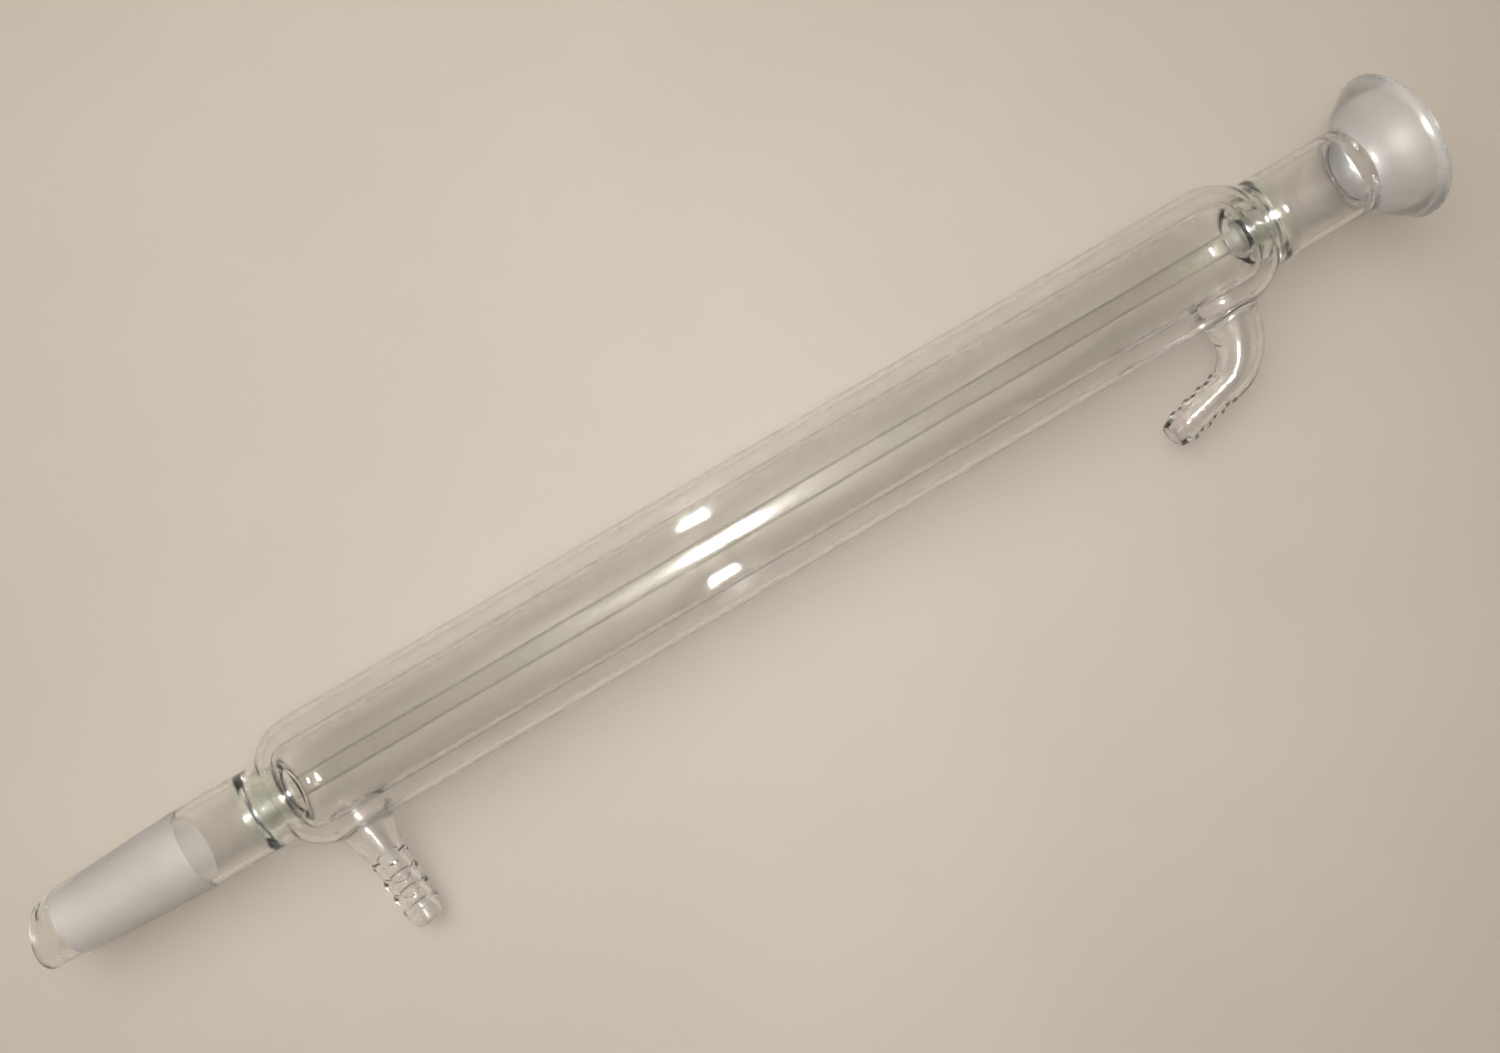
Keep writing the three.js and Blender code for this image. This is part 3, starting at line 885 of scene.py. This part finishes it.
def ground_glass():
    """Matt glass: whitish, cloudy and pitted, with fine lines round the axis and paler worn edges."""
    material, tree = empty_material("ground_glass")
    cloud = ranged(tree, grain(tree, GROUND_CLOUDS, detail=4.0, distortion=0.5), *SOFT_RANGE, 0.0, 1.0)
    wear = edge_wear(tree)
    colour = mixed_colour(tree, cloud, GROUND_PALE, GROUND_GREY)
    pits = bumped(tree, grain(tree, GRIT), GRIT_HEIGHT)
    lines = bumped(tree, grain(tree, GRINDING), GRINDING_HEIGHT, pits)
    shader = add(
        tree,
        "ShaderNodeBsdfPrincipled",
        Base_Color=mixed_colour(tree, wear, colour, GROUND_WORN),
        Roughness=ranged(tree, grain(tree, GROUND_PATCHES, detail=3.0), *SOFT_RANGE, *GROUND_ROUGHNESS),
        IOR=GLASS_IOR,
        Transmission_Weight=ranged(tree, cloud, 0.0, 1.0, *GROUND_TRANSMISSION),
        Normal=lines,
    )
    seen_through(tree, shader, GROUND_SHADE)
    return material


FUSED_LOOK = fused_glass()
CLEAR_LOOK = clear_glass("clear_glass", CLEAR_TINT, CLEAR_EDGE_SHADE)
WORKED_LOOK = clear_glass("worked_glass", CLEAR_TINT, WORKED_EDGE_SHADE, worked=True)
# The inner tube: a band of painted shade with dried water specks.
SHADE_BAND_AND_SPECKS_LOOK = clear_glass("shade_band_and_specks_glass", CLEAR_TINT, CLEAR_EDGE_SHADE, with_shade_band_and_specks=True)
RIM_LOOK = clear_glass("rim_glass", CLEAR_TINT, RIM_EDGE_SHADE, worked=True, rimmed=True)
SEAL_LOOK = clear_glass("seal_glass", SEAL_TINT, SEAL_EDGE_SHADE, worked=True)
GROUND_LOOK = ground_glass()


def fit_out(piece, glass=CLEAR_LOOK):
    """Gives a piece its materials and puts it in the place of the CAD node of the same name."""
    looks = {GLASS: glass, GROUND: GROUND_LOOK, FUSED: FUSED_LOOK}
    for index, skin in enumerate(piece["skins"]):
        piece.data.materials[index] = looks[skin]
    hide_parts(piece["node"])
    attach(piece, "root")


jacket = water_jacket()
cut_openings(jacket, [inlet, outlet])
fit_out(jacket)
fit_out(inner_tube(), SHADE_BAND_AND_SPECKS_LOOK)
fit_out(neck("lower_neck", LOWER_NECK_RADIUS, CONE_END, LOWER_SEAL_START))
fit_out(neck("upper_neck", UPPER_NECK_RADIUS, UPPER_SEAL_END, SOCKET_START))
for piece in (
    drip_tip(),
    arm_stub("inlet_stub", inlet),
    hose_barb("inlet_hose_barb", inlet, 0.0),
    arm_stub("outlet_stub", outlet),
    outlet_bend(outlet),
    hose_barb("outlet_hose_barb", outlet, BEND_ANGLE),
):
    fit_out(piece, WORKED_LOOK)
for piece in (
    ring_seal("lower_ring_seal", LOWER_NECK_RADIUS, LOWER_SEAL_START, JACKET_START, TUBE_START),
    ring_seal("upper_ring_seal", UPPER_NECK_RADIUS, UPPER_SEAL_END, JACKET_END, TUBE_END),
):
    fit_out(piece, SEAL_LOOK)
fit_out(ground_cone())
fit_out(ball_socket(), RIM_LOOK)

# ---- bench, light and camera ----

BENCH_RADIUS = 12.0  # in metres
BENCH_SIDES = 96
BENCH_GAP = 0.0002  # between the glass and the bench, in metres
BENCH_PALE, BENCH_WARM = (0.66, 0.58, 0.49), (0.63, 0.55, 0.46)
BENCH_CLOUDS = (9, 9, 9)
BENCH_GRAIN = (1500, 1500, 1500)
BENCH_GRAIN_HEIGHT = 0.00003
BENCH_ROUGHNESS = 0.75


def pale_bench():
    """A warm pale board, faintly cloudy and finely grained."""
    material, tree = empty_material("pale_bench")
    cloud = ranged(tree, grain(tree, BENCH_CLOUDS, detail=4.0), *SOFT_RANGE, 0.0, 1.0)
    shader = add(
        tree,
        "ShaderNodeBsdfPrincipled",
        Base_Color=mixed_colour(tree, cloud, BENCH_PALE, BENCH_WARM),
        Roughness=BENCH_ROUGHNESS,
        Normal=bumped(tree, grain(tree, BENCH_GRAIN, detail=3.0), BENCH_GRAIN_HEIGHT),
    )
    add(tree, "ShaderNodeOutputMaterial", Surface=shader.outputs[0])
    return material


def lowest_point(name):
    """The lowest point of a piece, in mm."""
    return min((vertex.co for vertex in bpy.data.objects[name].data.vertices), key=lambda co: co.z) / MM


def bench():
    """A pale floor that touches the rim, the jacket's lower end and the inlet arm's mouth."""
    rim = Vector((RIM_END - RIM_ROUND, AXIS.y, AXIS.z - RIM_RADIUS))
    belly = Vector((JACKET_START + SHOULDER_LENGTH, AXIS.y, AXIS.z - JACKET_RADIUS))
    mouth = lowest_point("inlet_hose_barb_glass")
    normal = (belly - rim).cross(mouth - rim).normalized()
    if normal.z < 0:
        normal.negate()
    bpy.ops.mesh.primitive_circle_add(vertices=BENCH_SIDES, radius=BENCH_RADIUS, fill_type="NGON")
    floor = bpy.context.object
    floor.name = "bench"
    floor.rotation_mode = "QUATERNION"
    floor.rotation_quaternion = normal.to_track_quat("Z", "Y")
    floor.location = rim * MM - normal * BENCH_GAP
    floor.data.materials.append(pale_bench())


# Sizes are in metres and powers in watts, but the sun's are an angle and watts per square metre.
Lamp = namedtuple("Lamp", "place power colour size")
WARM = (1.0, 0.98, 0.95)
CEILING = Lamp(Vector((-0.3, 0.5, 1.1)), 6.0, WARM, (1.0, 1.0))
DAYLIGHT = Lamp(Vector((-0.4, 0.6, 2.0)), 0.85, WARM, math.radians(60))
# The places of these two are measured from the lens.
KEY = Lamp(Vector((0.05, 0, 0.01)), 0.62, (1.0, 0.97, 0.93), (0.09, 0.09))
FLASH = Lamp(Vector((0.063, 0, 0)), 6.0, (1, 1, 1), (0.12, 0.02))


def aimed(name, data, place, target):
    """Puts a lamp in the scene, pointing at its target."""
    lamp = bpy.data.objects.new(name, data)
    bpy.context.scene.collection.objects.link(lamp)
    lamp.location = place
    lamp.rotation_mode = "QUATERNION"
    lamp.rotation_quaternion = (Vector(target) - Vector(place)).to_track_quat("-Z", "Y")
    lamp.visible_camera = False
    return lamp


def area_light(name, lamp, place, target):
    data = bpy.data.lights.new(name, "AREA")
    data.shape = "RECTANGLE"
    data.size, data.size_y = lamp.size
    data.energy = lamp.power
    data.color = lamp.colour
    return aimed(name, data, place, target)


def sun_light(name, lamp, target):
    data = bpy.data.lights.new(name, "SUN")
    data.energy = lamp.power
    data.angle = lamp.size
    data.color = lamp.colour
    return aimed(name, data, lamp.place, target)


def floor_only(lamp):
    """The lamp lights the scene, but the glass doesn't mirror it."""
    lamp.visible_glossy = False
    lamp.visible_transmission = False


def lights(lens_place):
    """Soft light from above, near and far, a small lamp beside the lens, and a flash for the glints."""
    centre = Vector((0, 0, 0))
    floor_only(area_light("ceiling", CEILING, CEILING.place, centre))
    floor_only(sun_light("daylight", DAYLIGHT, centre))
    floor_only(area_light("key", KEY, lens_place + KEY.place, AXIS * MM))
    flash = area_light("flash", FLASH, lens_place + FLASH.place, AXIS * MM)
    flash.visible_diffuse = False


# Pairs of a height, from 0 at the horizon to 1 overhead, and the world's brightness there.
WORLD_STOPS = ((0.06, 0.25), (0.22, 0.045), (0.75, 0.045), (0.95, 0.15))
WORLD_TINT = (1, 0.95, 0.9)


def world():
    """Pale at the horizon, like far studio walls, dark above them, and a dim ceiling overhead."""
    made = bpy.data.worlds.new("studio")
    made.use_nodes = True
    tree = made.node_tree
    tree.nodes.clear()
    coords = add(tree, "ShaderNodeTexCoord").outputs["Generated"]
    height = add(tree, "ShaderNodeSeparateXYZ", Vector=coords).outputs["Z"]
    ramp = add(tree, "ShaderNodeValToRGB", Fac=height)
    for _ in WORLD_STOPS[2:]:
        ramp.color_ramp.elements.new(0.5)
    for stop, (position, brightness) in zip(ramp.color_ramp.elements, WORLD_STOPS):
        stop.position = position
        stop.color = (*(share * brightness for share in WORLD_TINT), 1)
    shade = add(tree, "ShaderNodeBackground", Color=ramp.outputs[0], Strength=1.0)
    add(tree, "ShaderNodeOutputWorld", Surface=shade.outputs[0])
    bpy.context.scene.world = made


CAMERA_ALONG = -45.0  # camera's place along the condenser from the frame's middle, in mm
CAMERA_ABOVE = 433.0  # camera's height above the condenser's axis, in mm
CAMERA_SENSOR = 36  # in mm
CAMERA_LENS = 36.6  # in mm
CAMERA_RANGE = 0.01, 100  # nearest and farthest thing seen, in metres
CAMERA_LEAN = 0.101  # how far the camera looks up the condenser, in radians
CAMERA_SIDE_LEAN = -0.002  # how far it looks sideways, negative towards the arms, in radians
CAMERA_TWIST = -0.016  # turn of the camera's base line about the upright, in radians
CAMERA_ROLL = math.radians(29.5)  # turn about the line of sight, which slants the condenser


def camera():
    """A camera above the condenser. Gives the place of its lens."""
    forward = Vector((math.sin(CAMERA_LEAN), CAMERA_SIDE_LEAN, -1)).normalized()
    right = Vector((math.cos(CAMERA_TWIST), math.sin(CAMERA_TWIST), 0))
    right = (right - forward * right.dot(forward)).normalized()
    down = forward.cross(right)
    picture_right = math.cos(CAMERA_ROLL) * right + math.sin(CAMERA_ROLL) * down
    picture_down = -math.sin(CAMERA_ROLL) * right + math.cos(CAMERA_ROLL) * down
    data = bpy.data.cameras.new("camera")
    data.lens = CAMERA_LENS
    data.sensor_width = CAMERA_SENSOR
    data.clip_start, data.clip_end = CAMERA_RANGE
    made = bpy.data.objects.new("camera", data)
    bpy.context.scene.collection.objects.link(made)
    turn = Matrix((picture_right, -picture_down, -forward)).transposed()
    place = (AXIS + Vector((CAMERA_ALONG, 0, CAMERA_ABOVE))) * MM
    made.matrix_world = Matrix.Translation(place) @ turn.to_4x4()
    bpy.context.scene.camera = made
    return place


GLASS_BOUNCES = 24  # enough to pass through every wall of the condenser and back
CLEAR_BOUNCES = 48  # enough for the clear faces between the fused pieces on top of that


def light_paths():
    """Lets light go deep into the glass, and keeps the small bright glints."""
    settings = bpy.context.scene.cycles
    settings.max_bounces = GLASS_BOUNCES
    settings.transmission_bounces = GLASS_BOUNCES
    settings.transparent_max_bounces = CLEAR_BOUNCES
    settings.caustics_reflective = False
    settings.caustics_refractive = False
    settings.sample_clamp_indirect = 0
    bpy.context.scene.view_settings.view_transform = "Standard"


bench()
world()
lights(camera())
light_paths()

bpy.context.view_layer.update()
